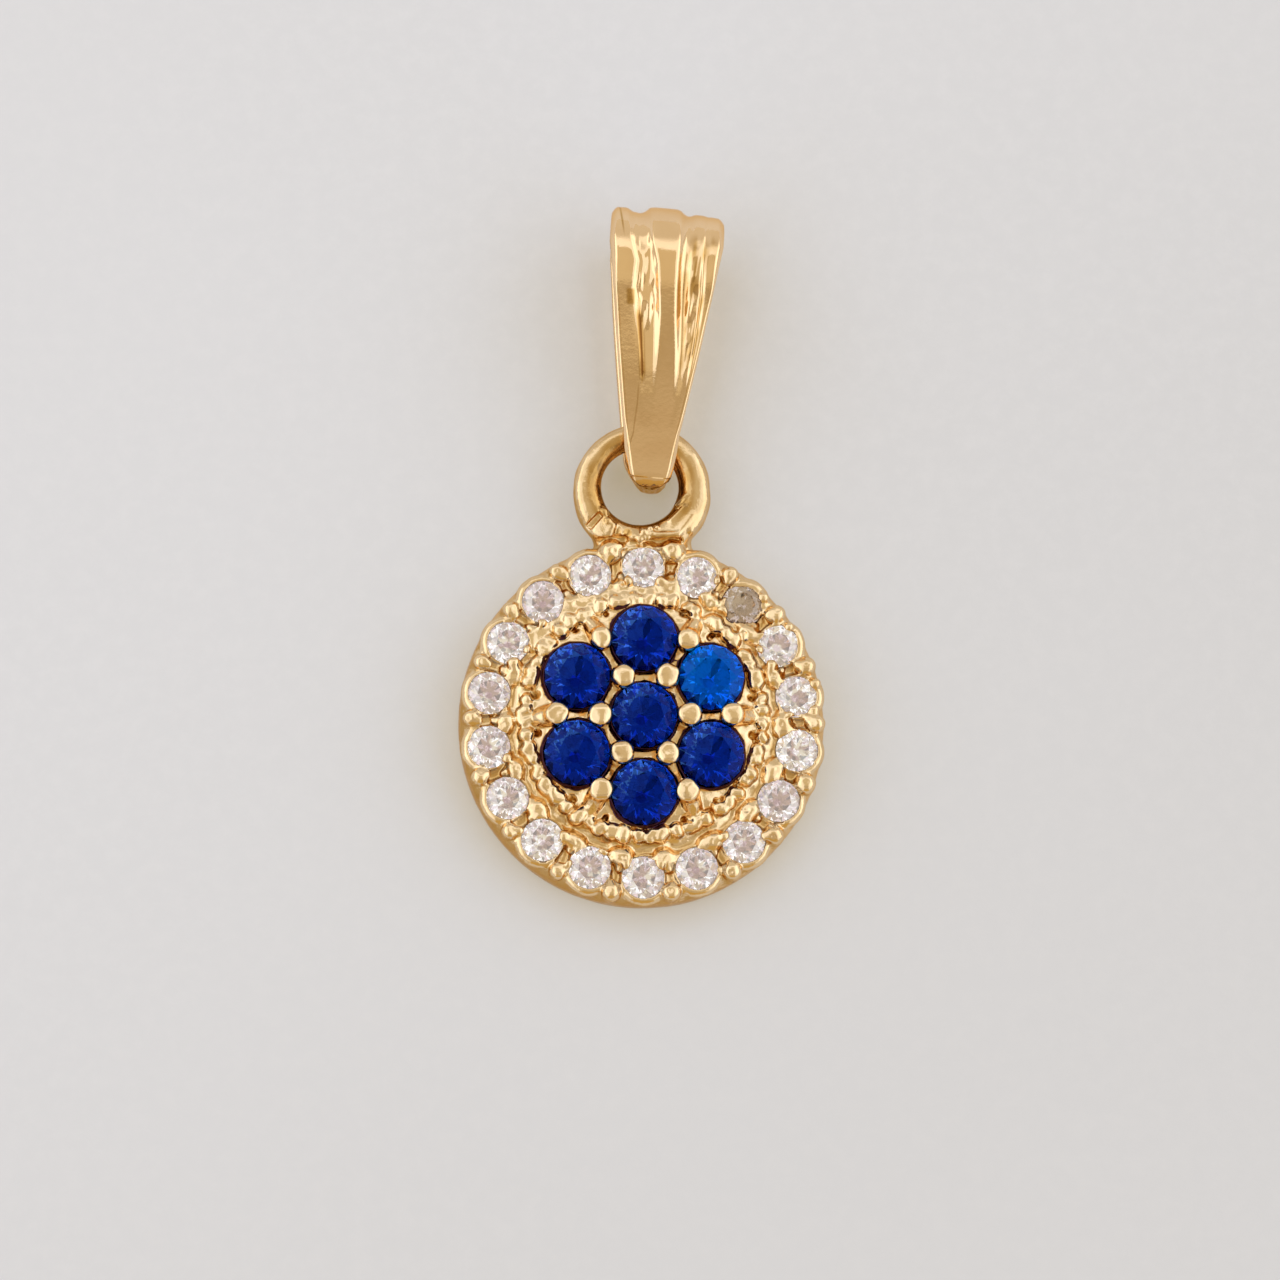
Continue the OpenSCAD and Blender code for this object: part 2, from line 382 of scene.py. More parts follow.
def add_band(field):
    """The smooth band on the upper left, between the clear stones and the ring of grains."""
    for a in range(*BAND, BAND_STEP):
        start, end = polar(BAND_R, a, FACE_Z), polar(BAND_R, a + BAND_STEP, FACE_Z)
        field.add(capsule(start, end, BAND_SIZE, BAND_SIZE), 0.1)


def add_grains(field):
    field.add(revolved(RIDGE_OUTLINE, (0, CLUSTER_SHIFT)), 0.08)
    for k in range(GRAINS):
        a = (k + 0.5 + jitter(0.2)) * 360 / GRAINS
        size = 0.22 + jitter(0.04)
        height = GRAIN_Z + jitter(0.04)
        low = polar(GRAIN_R - 0.05 + jitter(0.03), a, height, CLUSTER_SHIFT)
        high = polar(GRAIN_R + 0.05 + jitter(0.04), a + jitter(1.5), height, CLUSTER_SHIFT)
        field.add(capsule(low, high, size, size * (0.9 + jitter(0.1))), 0.08)


POCKET_R = 3.36
POCKET_ASIDE = 9.5


def pocket_place(k, side):
    """The dark pocket beside an outer bead, between the cluster and the ring of grains."""
    return polar(POCKET_R, OUTER_STEP * k + side * POCKET_ASIDE, 1.3, CLUSTER_SHIFT)


# The beads round the middle stone and those on the outer side: radius on the disc, height of
# the middle, size and height of the flat top
INNER_BEAD = (BLUE_PITCH / math.sqrt(3), 1.86, 0.385, 2.13)
OUTER_BEAD = (2.66, 1.83, 0.37, 2.08)
BEAD_FOOT = np.array((0, 0, 0.4))


def add_bead(field, k, bead, waist):
    """A bead that holds blue stones. Returns its middle."""
    ring_r, z, size, top = bead
    a = OUTER_STEP * k
    middle = polar(ring_r + jitter(0.02), a + jitter(1), z, CLUSTER_SHIFT)
    size = size + jitter(0.015)
    top = top + jitter(0.03)
    field.add(capsule(middle - BEAD_FOOT, middle, size - waist, size, top), 0.03)
    return middle


def add_cluster(field):
    """The raised metal under the blue stones, with its webs, beads and pockets."""
    field.add(revolved(BRIDGE_OUTLINE, (0, CLUSTER_SHIFT)), 0.06)
    for i in range(1, BLUE_STONES + 1):
        x, y, _ = blue_place(i)
        field.add(revolved(LOBE_OUTLINE, (x, y)), 0.05)
    for k in range(OUTER_STONES):
        a = OUTER_STEP * k
        # The web between two outer stones
        for side in (-1, 1):
            r = 2.75 + jitter(0.04)
            web = polar(r, a + side * (7 + jitter(1)), 1.16 + jitter(0.04), CLUSTER_SHIFT)
            field.add(ball(web, 0.3 + jitter(0.03)), 0.2)
        add_bead(field, k, INNER_BEAD, 0.08)
        outer = add_bead(field, k, OUTER_BEAD, 0.06)
        # Its broad tail towards the ring
        tail = polar(3.32, a + jitter(2), 1.27, CLUSTER_SHIFT)
        field.add(capsule(outer - (0, 0, 0.14), tail, 0.32, 0.25), 0.1)
    for k in range(OUTER_STONES):
        for side in (-1, 1):
            pocket = pocket_place(k, side)
            skew = np.array([jitter(0.12), jitter(0.12), 0.1])
            width = 0.12 + jitter(0.04)
            field.cut(capsule(pocket - (0, 0, 0.06), pocket + skew, 0.06, width), 0.08)


# Circles as (x, y, radius)
LOOP_OUTER = (-0.03, 7.12, 2.12)
LOOP_HOLE = (-0.1, 7.27, 1.19)
LOOP_Z = 1.1
# The space round the loop, and its least and most half width and half height
LOOP_LOW, LOOP_HIGH = (-2.5, 4.8, 0.4), (2.5, 9.5, 1.9)
LOOP_LEAST, LOOP_MOST = 0.2, 0.45
# Solder round the foot, as (x, y, z, radius)
FOOT_SOLDER = (
    (-1.15, 5.5, 0.85, 0.32),
    (-0.5, 5.6, 0.85, 0.3),
    (0.1, 5.6, 0.85, 0.32),
    (0.7, 5.6, 0.85, 0.3),
    (1.2, 5.45, 0.85, 0.32),
)
# Valleys in front of the foot, as two ends and a radius
FOOT_VALLEYS = (
    ((-0.5, 5.68, 1.56), (-0.46, 5.9, 1.6), 0.12),
    ((-0.84, 5.66, 1.54), (-0.8, 5.9, 1.6), 0.12),
    ((-1.35, 5.5, 1.4), (-0.6, 5.6, 1.4), 0.16),
    ((0.15, 5.52, 1.42), (1.0, 5.56, 1.42), 0.16),
    ((-0.5, 5.45, 1.5), (0.2, 5.5, 1.5), 0.16),
)
# Lumps left by the casting, as (x, y, z, radius)
LOOP_LUMPS = (
    (-1.25, 6.42, 1.48, 0.17),
    (-1.12, 6.14, 1.5, 0.14),
    (-0.98, 6.0, 1.5, 0.12),
    (-1.05, 5.86, 1.46, 0.13),
    (-0.12, 5.62, 1.5, 0.13),
    (0.0, 5.8, 1.54, 0.12),
    (0.1, 5.66, 1.52, 0.12),
    (0.24, 5.76, 1.54, 0.1),
    (0.2, 5.92, 1.53, 0.07),
    (0.4, 5.97, 1.52, 0.06),
    (1.42, 5.92, 1.42, 0.13),
    (1.5, 6.15, 1.4, 0.1),
)
# Ridges left by the casting, as two ends, their radii and the blend
LOOP_RIDGES = (
    ((0.25, 5.73, 1.53), (1.05, 5.76, 1.53), 0.09, 0.09, 0.06),
    ((1.05, 5.76, 1.53), (1.5, 6.4, 1.5), 0.09, 0.06, 0.1),
    ((1.0, 6.68, 1.48), (1.3, 7.0, 1.46), 0.07, 0.06, 0.06),
    ((0.85, 6.2, 1.48), (1.25, 6.62, 1.48), 0.06, 0.06, 0.08),
)
# The notch at the left of the foot: its middle, size and angle
FOOT_NOTCH = ((-1.5, 6.17, 1.52), (0.56, 0.19, 0.4), 48)


def loop_distance(x, y, z):
    """The loop: a hole off the middle of its outer circle leaves the wire thin at the top."""
    outer = np.hypot(x - LOOP_OUTER[0], y - LOOP_OUTER[1]) - LOOP_OUTER[2]
    hole = LOOP_HOLE[2] - np.hypot(x - LOOP_HOLE[0], y - LOOP_HOLE[1])
    half = np.maximum(-(outer + hole) / 2, LOOP_LEAST)
    height = np.minimum(half, LOOP_MOST)
    s = (outer - hole) / 2 / half
    w = np.abs(z - LOOP_Z) / height
    # The wire is round on the side of the hole and flatter on the outside
    power = 2.0 + 0.7 * ramp(s, -0.2, 0.4)
    level = (np.abs(s) ** power + w**2.2) ** (2.2 / (2.1 * power))
    return (level - 1) * np.minimum(half, height)


def add_loop(field):
    field.add((loop_distance, LOOP_LOW, LOOP_HIGH), 0.1)
    for *place, r in FOOT_SOLDER:
        field.add(ball(place, r), 0.22)
    for p, q, r in FOOT_VALLEYS:
        field.cut(capsule(p, q, r, r), 0.08)
    for *place, r in LOOP_LUMPS:
        field.add(ball(place, r), 0.06)
    for *rod, blend in LOOP_RIDGES:
        field.add(capsule(*rod), blend)
    field.cut(slot_box(*FOOT_NOTCH), 0.03)


def roughen(field):
    """Gives the casting its skin, rougher on the relief than on the side and the loop."""
    x, y, z = np.ix_(*field.axes)
    radius = np.hypot(x, y)
    angle = np.degrees(np.arctan2(y, x))
    beads = ramp(z, 1.75, 1.95)
    relief = ramp(z, 0.95, 1.15) * (1 - beads) * (1 - ramp(radius, 5.75, 6.1))
    relief = relief * (1 - 0.65 * ramp(radius, 5.2, 5.4))
    band = ramp(angle, BAND[0], BAND[0] + 10) * (1 - ramp(angle, BAND[1] - 10, BAND[1]))
    relief = relief * (1 - 0.75 * band * ramp(radius, 3.8, 3.95) * (1 - ramp(radius, 4.25, 4.4)))
    skin = 0.6 * lattice_noise(field.axes, 0.36, 5) + 0.4 * lattice_noise(field.axes, 0.2, 6)
    field.values += skin * (0.008 + 0.05 * relief + 0.05 * beads)
    waves = 0.022 * ramp(y, 5.2, 5.8) + 0.008
    field.values += waves * lattice_noise(field.axes, 0.55, 7) * (1 - relief)


def make_setting():
    field = Field()
    field.add(revolved(DISC_OUTLINE), 0.02)
    add_loop(field)
    field.cut(revolved(RIM_CLEARANCE), 0.06)
    add_bezels(field)
    add_halo(field)
    add_band(field)
    add_grains(field)
    add_cluster(field)
    roughen(field)
    for i in range(1, CLEAR_STONES + 1):
        x, y, z = clear_place(i)
        field.cut(revolved(seat_outline(CLEAR_D, *CLEAR_SEAT), (x, y), z), 0.02)
    for i in range(1, BLUE_STONES + 1):
        x, y, z = blue_place(i)
        field.cut(revolved(seat_outline(BLUE_D, *BLUE_SEAT), (x, y), z), 0.03)
    # The pendant lies flat on its back
    field.values = np.maximum(field.values, -field.axes[2][None, None, :]).astype(np.float32)
    return field


# ---------- painted shade on the setting, with a faint mottled darkening

# Reach and depth of the broad and the narrow hollows, and how strong their painted shade is
HOLLOWS = ((0.4, 0.085, 0.8), (0.18, 0.012, 0.66))
# Distances are cut off here before they are blurred
HOLLOW_LIMIT = 0.4
# Radius on the disc of the middle of a post's foot, and the foot's own radius
POST_FOOT_R = 5.22
POST_FOOT_SIZE = 0.4
# Places of painted shade in the valleys in front of the foot of the loop
FOOT_PATCHES = ((-0.84, 5.8), (-0.5, 5.8), (0.3, 5.57), (0.6, 5.6), (0.9, 5.62))


def blur(values, cells):
    for axis in (0, 1, 2, 0, 1, 2):
        total = np.cumsum(values, axis, dtype=np.float64)
        places = np.arange(values.shape[axis])
        front = np.take(total, np.minimum(places + cells, len(places) - 1), axis)
        back = np.take(total, np.maximum(places - cells, 0), axis)
        values = ((front - back) / (2 * cells)).astype(np.float32)
    return values


def away_from(x, y, places):
    return np.hypot(places[:, 0] - x, places[:, 1] - y)


def hollow_shades(field, index):
    """Painted shade where the surface lies lower than the metal round it."""
    for reach, deep, strength in HOLLOWS:
        near = np.clip(field.values, -HOLLOW_LIMIT, HOLLOW_LIMIT)
        blurred = blur(near, int(reach / VOXEL / 2))
        yield strength * np.clip(-blurred[index] / deep, 0, 1)


def loop_darkening(places, mottled):
    """Painted shade on the loop, darkest on the wall of its hole, at the upper left and at the
    right, and a mottled darkening over the whole loop.
    """
    x, y = places[:, 0] - LOOP_HOLE[0], places[:, 1] - LOOP_HOLE[1]
    wall = np.hypot(x, y) - LOOP_HOLE[2]
    turn = np.arctan2(y, x)
    upper_left = np.maximum(0, np.cos(turn - 2.25)) ** 3
    right = np.maximum(0, np.cos(turn)) ** 3
    width = 0.13 + 0.42 * upper_left + 0.14 * right
    # The foot gets less painted shade than the rest
    foot_fade = 1 - 0.6 * ramp(-np.sin(turn), 0.55, 0.9)
    yield (0.9 - 0.06 * upper_left) * (1 - ramp(wall, 0.5 * width, width))
    yield foot_fade * (0.45 + 0.45 * mottled) * (1 - ramp(wall, 0.38, 0.68))
    yield foot_fade * (0.2 + 0.25 * mottled) * ramp(places[:, 1], 5.7, 6.0)


def valley_shades(places, radius, mottled):
    """Painted shade in the valleys between the clear stones, and round the foot of each post."""
    low = 1 - ramp(places[:, 2], FACE_Z, 1.3)
    for k in range(CLEAR_STONES):
        a = CLEAR_STEP * k
        across = places @ polar(1, a + 90)
        valley = (1 - ramp(np.abs(across), 0.12, 0.26)) * (places @ polar(1, a) > 0)
        valley = valley * ramp(radius, 4.4, 4.5) * (1 - ramp(radius, 5.1, 5.25))
        x, y, _ = polar(LOOP_POST_R if k in LOOP_POSTS else POST_FOOT_R, a)
        ring = np.abs(away_from(x, y, places) - POST_FOOT_SIZE)
        ring = (1 - ramp(ring, 0.03, 0.1)) * ((radius < 5.4) | (places[:, 1] > 5))
        yield (0.35 + 0.35 * mottled) * low * np.maximum(valley, 0.7 * ring)


def crescent_shadows(places, mottled):
    """Painted shadow on the inner side of each clear stone."""
    low = 1 - ramp(places[:, 2], 1.28, 1.4)
    for i in range(1, CLEAR_STONES + 1):
        x, y, _ = clear_place(i)
        dx, dy = places[:, 0] - x, places[:, 1] - y
        away = np.hypot(dx, dy) + 1e-6
        inward = -(dx * x + dy * y) / (away * HALO_R)
        crescent = ramp(inward, 0.3, 0.8) * (1 - ramp(away, 0.76, 0.92)) * low
        yield (0.4 + 0.3 * mottled) * crescent


def pocket_shades(places, mottled):
    # Painted shade in the pockets beside the outer beads
    for k in range(OUTER_STONES):
        for side in (-1, 1):
            away = np.linalg.norm(places - pocket_place(k, side) + (0, 0, 0.1), axis=1)
            yield (0.7 + 0.4 * mottled) * (1 - ramp(away, 0.1, 0.26))


def foot_shades(places, mottled):
    # Painted shade in the valleys in front of the foot, above the face
    high = ramp(places[:, 2], FACE_Z, 1.3)
    for x, y in FOOT_PATCHES:
        away = away_from(x, y, places)
        yield (0.5 + 0.3 * mottled) * (1 - ramp(away, 0.1, 0.2)) * high


def seat_shadows(places, mottled):
    """Painted shadow at the edges of the blue stones' seats."""
    for i in range(1, BLUE_STONES + 1):
        x, y, z = blue_place(i)
        edge = away_from(x, y, places) - BLUE_D / 2 - 0.09 * mottled
        low = 1 - ramp(places[:, 2], z - 0.05, z + 0.05)
        yield 1.5 * (1 - ramp(edge, 0.02, 0.1)) * low


def mark_hollows(field, found):
    """Gives each point of the mesh a value of painted shade, from 0 where the gold has none to 1
    and over.
    """
    places = vertex_places(found.data) / MM - np.array([0, DISC_Y, 0])
    index = tuple(
        np.clip(np.round((places[:, i] - FIELD_LOW[i]) / VOXEL).astype(int), 0, len(axis) - 1)
        for i, axis in enumerate(field.axes)
    )
    mottled = 0.5 + 0.5 * lattice_noise(field.axes, 0.3, 8)[index]
    radius = away_from(0, 0, places)
    darkenings = [
        *hollow_shades(field, index),
        *loop_darkening(places, mottled),
        *valley_shades(places, radius, mottled),
        *crescent_shadows(places, mottled),
        *pocket_shades(places, mottled),
        (0.1 + 0.2 * mottled) * ramp(radius, 4.0, 4.4),
    ]
    # The cluster gets less painted shade than what lies round it
    hollow = np.maximum.reduce(darkenings) * (0.8 + 0.2 * ramp(radius, 3.1, 3.5))
    darkenings = [hollow, *foot_shades(places, mottled), *seat_shadows(places, mottled)]
    set_hollows(found.data, np.maximum.reduce(darkenings))


def set_hollows(mesh, hollow):
    layer = mesh.attributes.new("hollow", "FLOAT", "POINT")
    layer.data.foreach_set("value", np.ascontiguousarray(hollow, np.float32))


# ---------- meshes

SETTING_TRIANGLES = 190000


def vertex_places(mesh):
    co = np.zeros(len(mesh.vertices) * 3, np.float32)
    mesh.vertices.foreach_get("co", co)
    return co.reshape(-1, 3)


def link(name, mesh):
    found = bpy.data.objects.new(name, mesh)
    bpy.context.scene.collection.objects.link(found)
    return found


def field_mesh(field, name):
    """The surface of a field as an object, in metres in the row frame."""
    grid = openvdb.FloatGrid(background=1.0)
    grid.copyFromArray(np.clip(field.values, -1, 1))
    points, triangles, quads = grid.convertToPolygons(isovalue=0.0, adaptivity=0.0)
    places = (points * VOXEL + np.array(FIELD_LOW) + np.array([0, DISC_Y, 0])) * MM
    faces = quads.tolist() + triangles.tolist()
    mesh = bpy.data.meshes.new(name)
    mesh.from_pydata(places.tolist(), [], faces)
    mesh.validate()
    return link(name, mesh)


def signed_volume(mesh):
    mesh.calc_loop_triangles()
    co = vertex_places(mesh).astype(float)
    corner = np.zeros(len(mesh.loop_triangles) * 3, np.int32)
    mesh.loop_triangles.foreach_get("vertices", corner)
    a, b, c = (co[corner.reshape(-1, 3)[:, i]] for i in range(3))
    return float((a * np.cross(b, c)).sum() / 6)


def finish_mesh(mesh):
    """Turns the faces outwards and shades them smooth."""
    if signed_volume(mesh) < 0:
        mesh.flip_normals()
    mesh.polygons.foreach_set("use_smooth", [True] * len(mesh.polygons))
    mesh.update()


def reduce_faces(found, most):
    """Replaces the object's mesh by one of at most so many triangles."""
    found.data.calc_loop_triangles()
    modifier = found.modifiers.new("reduce", "DECIMATE")
    modifier.ratio = min(1.0, most / len(found.data.loop_triangles))
    modifier.use_collapse_triangulate = True
    evaluated = found.evaluated_get(bpy.context.evaluated_depsgraph_get())
    made = bpy.data.meshes.new_from_object(evaluated)
    found.modifiers.clear()
    old, found.data = found.data, made
    bpy.data.meshes.remove(old)
    finish_mesh(made)


# ---------- the bail

# In the side view t runs along the bail from its tip, and z runs up
BAIL_L = 8.7
BAIL_W = 3.5
BAIL_WALL = 0.5
# How it lies: its angle in degrees, and where its tip is
BAIL_TURN = 4.2
BAIL_X = 0.14
BAIL_TIP_Y = 7.15
TIP_R = 1.0
TOP_R = 1.9
TOP_T = BAIL_L - TOP_R
FRONT_ANGLE = 90 + 2 * math.degrees(math.atan((TOP_R - TIP_R) / (TOP_T - TIP_R)))
# The front is a little crowned along its length, more so just under the bend: its angle in
# degrees at shares of its length
CROWN_SHARES = (0, 0.09, 1)
FRONT_CROWN = (-4.5, -1.0, 1.2)
FRONT_CORNER_R = 0.45
BACK_CORNER_R = 0.85
# The back loses its flutes over this length under the bend
BACK_FADE = 1.6
BEVEL = 0.08
# Least wall under a flute
LEAST_WALL = 0.14
# Shares of the stations on the front, the bend, the end and each corner, and of the front's
# number on the back
FRONT_SHARE, BEND_SHARE, END_SHARE, CORNER_SHARE = 0.33, 0.3, 0.03, 0.06
BACK_SHARE = 0.6
# Points across the inner side, and how brown it is
INNER_POINTS = 15
INNER_FILM = 0.05

# Places from the top, and the bail's width there as a share of BAIL_W
WIDTH_ALONG = (0.0, 1.3, 2.8, 4.4, 5.9, 7.1, 7.6, 8.1, 8.36, 8.55, 8.65, 8.7)
WIDTH_SHARE = (1.0, 0.985, 0.875, 0.745, 0.61, 0.495, 0.47, 0.42, 0.385, 0.345, 0.29, 0.21)
# From the top: the sides of the left channel and its depth, the middle and depth of the right
# groove, and the middle and depth of the groove near the right edge. Sides and middles are
# shares of the half width.
LEFT, RIGHT, CHANNEL, MIDDLE, GROOVE, EDGE, STRIPE = range(1, 8)
FLUTES = np.array(
    [
        (0.0, -0.65, -0.37, 0.16, 0.35, 0.12, 0.72, 0.02),
        (1.4, -0.58, -0.28, 0.13, 0.35, 0.13, 0.68, 0.04),
        (2.1, -0.49, -0.18, 0.12, 0.35, 0.14, 0.70, 0.05),
        (2.9, -0.55, -0.13, 0.12, 0.38, 0.15, 0.77, 0.06),
        (3.6, -0.50, -0.08, 0.10, 0.43, 0.14, 0.81, 0.06),
        (4.7, -0.44, -0.05, 0.065, 0.54, 0.10, 0.86, 0.03),
        (5.3, -0.41, -0.04, 0.03, 0.58, 0.045, 0.87, 0.015),
        (6.0, -0.40, -0.03, 0.008, 0.62, 0.012, 0.88, 0.005),
        (6.9, -0.40, -0.03, 0.00, 0.62, 0.00, 0.88, 0.00),
        (8.7, -0.40, -0.03, 0.00, 0.62, 0.00, 0.88, 0.00),
    ]
)
# Places from the top, and where the faint crease beside the left edge runs
CREASE_ALONG, CREASE_PLACE = (5.5, 6.3, 7.15, 7.8), (-0.47, -0.52, -0.67, -0.95)


def flutes_at(from_top, *indices):
    return [np.interp(from_top, FLUTES[:, 0], FLUTES[:, i])[:, None] for i in indices]


def crease_place(from_top):
    return np.interp(from_top, CREASE_ALONG, CREASE_PLACE)[:, None]


def bail_noise(u, wave, seed):
    """Noise on even steps of the way round, so that front and back don't share it."""
    way = np.linspace(0, BAIL_L * 2.6, len(u))
    return lattice_noise((way, u[0]), wave, seed)


def arc(t, z, r, start, end, count):
    a = np.radians(np.linspace(start, end, count, endpoint=False))
    co, si = np.cos(a), np.sin(a)
    return np.stack([t + r * co, z + r * si, co, si, np.ones(count)], 1)


def bail_side_view(steps):
    """Stations round the bail's side view: place, outward direction and strength of the flutes."""
    n_line, n_corner = int(steps * FRONT_SHARE), int(steps * CORNER_SHARE)
    share = np.linspace(0, 1, n_line, endpoint=False)
    angles = np.radians(FRONT_ANGLE + np.interp(share, CROWN_SHARES, FRONT_CROWN))
    outward = np.stack([np.cos(angles), np.sin(angles)], 1)
    along = np.stack([-np.sin(angles), np.cos(angles)], 1)
    front_top = np.array([TOP_T, TOP_R]) + TOP_R * outward[0]
    # The rounded corner between the front and the end of the tip
    corner_t = FRONT_CORNER_R
    length = (front_top[0] - corner_t - FRONT_CORNER_R * outward[-1][0]) / -along.mean(0)[0]
    front_places = front_top + length * np.cumsum(along, 0) / n_line
    corner_z = front_places[-1][1] - FRONT_CORNER_R * outward[-1][1]
    back_t = np.linspace(BACK_CORNER_R, TOP_T, int(n_line * BACK_SHARE), endpoint=False)
    none = 0 * back_t
    fade = 1 - np.clip((TOP_T - back_t) / BACK_FADE, 0, 1)
    end_z = np.linspace(corner_z, BACK_CORNER_R, int(steps * END_SHARE), endpoint=False)
    bend_end = FRONT_ANGLE + FRONT_CROWN[0]
    corner_start = FRONT_ANGLE + FRONT_CROWN[-1]
    return np.vstack(
        [
            np.stack([back_t, none, none, none - 1, fade], 1),
            arc(TOP_T, TOP_R, TOP_R, -90, bend_end, int(steps * BEND_SHARE)),
            np.hstack([front_places, outward, np.ones((n_line, 1))]),
            arc(corner_t, corner_z, FRONT_CORNER_R, corner_start, 180, n_corner),
            np.stack([0 * end_z, end_z, 0 * end_z - 1, 0 * end_z, 0 * end_z + 1], 1),
            arc(BACK_CORNER_R, BACK_CORNER_R, BACK_CORNER_R, 180, 270, n_corner),
        ]
    )


def bail_shade_and_marks(u, from_top, z, half_w):
    """Where the bail is painted darker: painted shade in its grooves and along its crease, darker
    lines along its bevels and near its left edge at the top, brown streaks on the right ridge, a
    small brown square, and painted reflection on the end of the tip.
    """
    left, middle = flutes_at(from_top, LEFT, MIDDLE)
    along = from_top[:, None]

    def line(centre, width, strength, start, end):
        shape = strength * np.exp(-(((u - centre) / width) ** 2))
        return shape * ramp(along, start, start + 0.5) * (1 - ramp(along, end - 0.6, end))

    bevel_u = BEVEL / half_w[:, None]
    streaks = 0.5 + 0.5 * bail_noise(u, (0.6, 0.06), 14)
    ridge = ramp(u, middle, middle + 0.1) * (1 - ramp(u, 0.85, 0.95))
    # The small brown square on the left strip
    square = 0.85 * ramp(u, -0.8, -0.7) * (1 - ramp(u, -0.62, -0.54))
    darkenings = [
        line(left + 0.02, 0.08, 1.1, 3.3, 5.9),
        line(middle + 0.04, 0.08, 0.6, 2.0, 5.6),
        0.85 * streaks * ridge * ramp(along, 0.7, 1.5) * (1 - ramp(along, 4.4, 5.8)),
        line(crease_place(from_top), 0.03, 0.45, 5.4, 8.0),
        line(1 - 1.5 * bevel_u, 0.3 * bevel_u, 0.4, 2.0, 8.4),
        line(-1 + 1.5 * bevel_u, 0.3 * bevel_u, 0.4, 3.0, 8.4),
        line(-0.86 + 0.09 * (along - 0.2), 0.02, 0.7, -0.4, 1.5),
        square * ramp(along, 2.9, 3.0) * (1 - ramp(along, 3.35, 3.5)),
    ]
    front = np.maximum.reduce(np.broadcast_arrays(*darkenings)) * (z[:, None] > 1.0)
    # Painted reflection darkens the end of the tip
    end = 0.3 * ramp(along, 8.1, 8.4) + 0.34 * ramp(along, 8.5, 8.69)
    return np.maximum(front, end)


def bail_flutes(u, from_top):
    """Depth of the channel, the grooves and the lower sides."""
    left, right, depth, middle, low = flutes_at(from_top, LEFT, RIGHT, CHANNEL, MIDDLE, GROOVE)
    edge, edge_low = flutes_at(from_top, EDGE, STRIPE)
    channel = ramp(u, left - 0.05, left + 0.04) * (1 - ramp(u, right - 0.1, right + 0.06))
    bowl = np.sin(np.pi * np.clip((u - left + 0.03) / (right - left + 0.06), 0, 1))
    upper = ramp(3.7 - from_top, 0, 1.3)[:, None]
    channel = depth * (channel + 0.8 * upper * (bowl - channel))
    groove = low * np.exp(-(((u - middle) / 0.09) ** 2))
    stripe = edge_low * np.exp(-(((u - edge) / 0.045) ** 2))
    # The side ridges lie a little lower than the middle one
    fade = ramp(6.9 - from_top, 0, 4.0)[:, None]
    left_side = 0.07 * (1 - ramp(u, left - 0.04, left + 0.1))
    sides = fade * (left_side + 0.06 * ramp(u, middle - 0.03, middle + 0.1))
    # The left and the middle strip are a little rounded towards their edges
    pillow = 1
    for low_u, high_u in ((-1.0, left - 0.04), (right, middle - 0.08)):
        share = np.abs(u - (low_u + high_u) / 2) / ((high_u - low_u) / 2)
        pillow = pillow * np.minimum(share, 1) ** 5
    pillow = 0.05 * pillow * (1 - ramp(from_top, 3.0, 5.0))[:, None]
    crown = 0.025 * u * u + 0.05 * fade * ramp(u, middle, 1.0) ** 2
    return np.maximum(channel, groove) + stripe + sides + pillow, crown


def bail_wrinkles(u, from_top):
    """Wrinkles in the channel, on the right ridge and on the tip."""
    left, right, middle, edge = flutes_at(from_top, LEFT, RIGHT, MIDDLE, EDGE)
    fine = 0.7 * bail_noise(u, (0.8, 0.12), 11) + 0.3 * bail_noise(u, (0.35, 0.06), 12)
    where = ramp(from_top, 1.0, 1.6) * (1 - ramp(from_top, 3.4, 4.3))
    in_channel = ramp(u, left, left + 0.06) * (1 - ramp(u, right - 0.06, right + 0.02))
    wide = ramp(from_top, 0.9, 1.6) * (1 - ramp(from_top, 4.6, 5.8))
    on_ridge = ramp(u, middle + 0.05, middle + 0.15) * (1 - ramp(u, edge - 0.1, edge + 0.02))
    channel = 0.075 * where[:, None] * in_channel
    wrinkles = fine * (channel + 0.045 * wide[:, None] * on_ridge)
    tip = ramp(from_top, 8.3, 8.65)[:, None]
    return wrinkles + 0.012 * bail_noise(u, (0.22, 0.25), 15) * tip


def bail_depth(u, from_top, strength, half_w):
    """How far the outer surface lies under the side view's line, at share u of the half width."""
    flutes, crown = bail_flutes(u, from_top)
    wrinkles = bail_wrinkles(u, from_top)
    crease_u = crease_place(from_top)
    crease = 0.006 * ramp(from_top, 5.6, 6.4)[:, None]
    crease = crease * (1 - ramp(u, crease_u - 0.06, crease_u + 0.03))
    # The bevel is wider near the bend and near the tip
    bevel_w = BEVEL + 0.1 * (1 - ramp(from_top, 1.6, 3.0)) + 0.1 * ramp(from_top, 6.6, 7.8)
    bevel_w = bevel_w[:, None]
    bevel_u = bevel_w / half_w[:, None]
    bevel = bevel_w * 0.8 * np.clip((np.abs(u) - 1 + bevel_u) / bevel_u, 0, 1) ** 1.6
    return strength[:, None] * (flutes + wrinkles + crown + crease) + bevel


